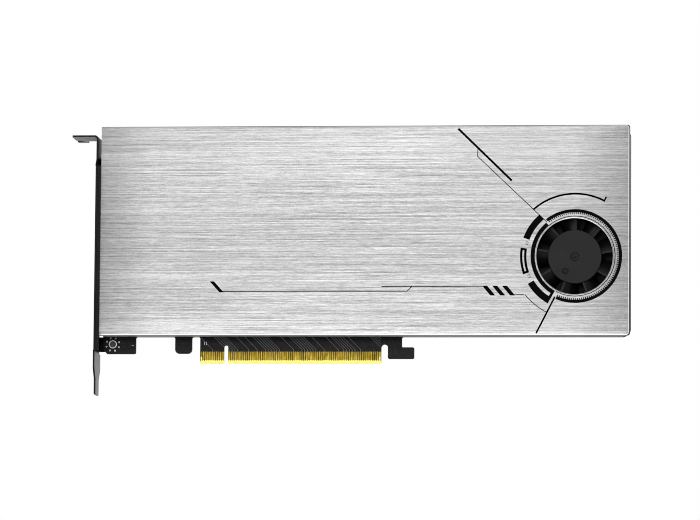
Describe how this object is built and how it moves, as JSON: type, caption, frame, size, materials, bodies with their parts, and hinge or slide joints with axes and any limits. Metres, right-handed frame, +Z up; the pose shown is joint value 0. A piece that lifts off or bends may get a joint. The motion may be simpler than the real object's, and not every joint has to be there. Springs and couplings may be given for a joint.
{
  "type": "nvme adapter card",
  "caption": "Full-height expansion card that takes M.2 solid-state drives in board sockets under a finned heatsink, with a brushed metal cover plate and an inset cooling fan.",
  "frame": {"origin": "the middle of the key notch, at the tip of the contact edge, in the middle of the board's thickness", "axes": "+X along the card, away from the bracket; +Z up, from the contact edge to the card's top edge; -Y out of the cover plate"},
  "size_m": [0.259, 0.0246, 0.1243],
  "materials": {
    "board_laminate": "satin",
    "fan_board_laminate": "satin",
    "gold_plate": "satin",
    "black_paint": "satin",
    "screw_steel": "satin",
    "tinned_brass": "satin",
    "tinned_copper": "satin",
    "cast_aluminium": "satin",
    "brushed_aluminium": "brushed",
    "socket_plastic": "matte",
    "plug_plastic": "matte",
    "pad_silicone": "matte",
    "fan_plastic": "satin",
    "sintered_bronze": "satin",
    "ferrite": "matte",
    "core_steel": "satin",
    "coil_wire": "gloss",
    "lead_insulation": "satin",
    "choke_black": "matte",
    "chip_epoxy": "matte",
    "capacitor_body": "satin",
    "light_lens": "gloss"
  },
  "bodies": {
    "card": {"bracket": "black_paint", "bracket_nuts": "tinned_brass", "bracket_screws": "screw_steel", "capacitors": "capacitor_body", "circuit_board": "board_laminate", "clock_buffer": "chip_epoxy", "cover_plate": "brushed_aluminium", "drive_screws": "screw_steel", "drive_socket_1": "socket_plastic", "drive_socket_2": "socket_plastic", "drive_socket_3": "socket_plastic", "drive_socket_4": "socket_plastic", "drive_standoffs": "tinned_brass", "edge_contacts": "gold_plate", "fan_bearing": "sintered_bronze", "fan_board": "fan_board_laminate", "fan_frame": "fan_plastic", "fan_header": "socket_plastic", "fan_lead": "lead_insulation", "fan_plug": "plug_plastic", "fan_screws": "screw_steel", "heatsink": "cast_aluminium", "heatsink_screws": "screw_steel", "inductors": "choke_black", "power_switches": "chip_epoxy", "socket_contacts_1": "tinned_copper", "socket_contacts_2": "tinned_copper", "socket_contacts_3": "tinned_copper", "socket_contacts_4": "tinned_copper", "stator_coils": "coil_wire", "stator_core": "core_steel", "status_lights": "light_lens", "thermal_pad_1": "pad_silicone", "thermal_pad_2": "pad_silicone", "thermal_pad_3": "pad_silicone", "thermal_pad_4": "pad_silicone"},
    "rotor": {"fan_rotor": "fan_plastic", "rotor_yoke": "screw_steel", "rotor_magnet": "ferrite", "fan_shaft": "screw_steel"}
  },
  "joints": [
    {"name": "fan_spin", "type": "hinge", "parent": "card", "child": "rotor", "pos_m": [0.1619, -0.00739, 0.0485], "axis": [0, -1, 0], "continuous": true}
  ]
}
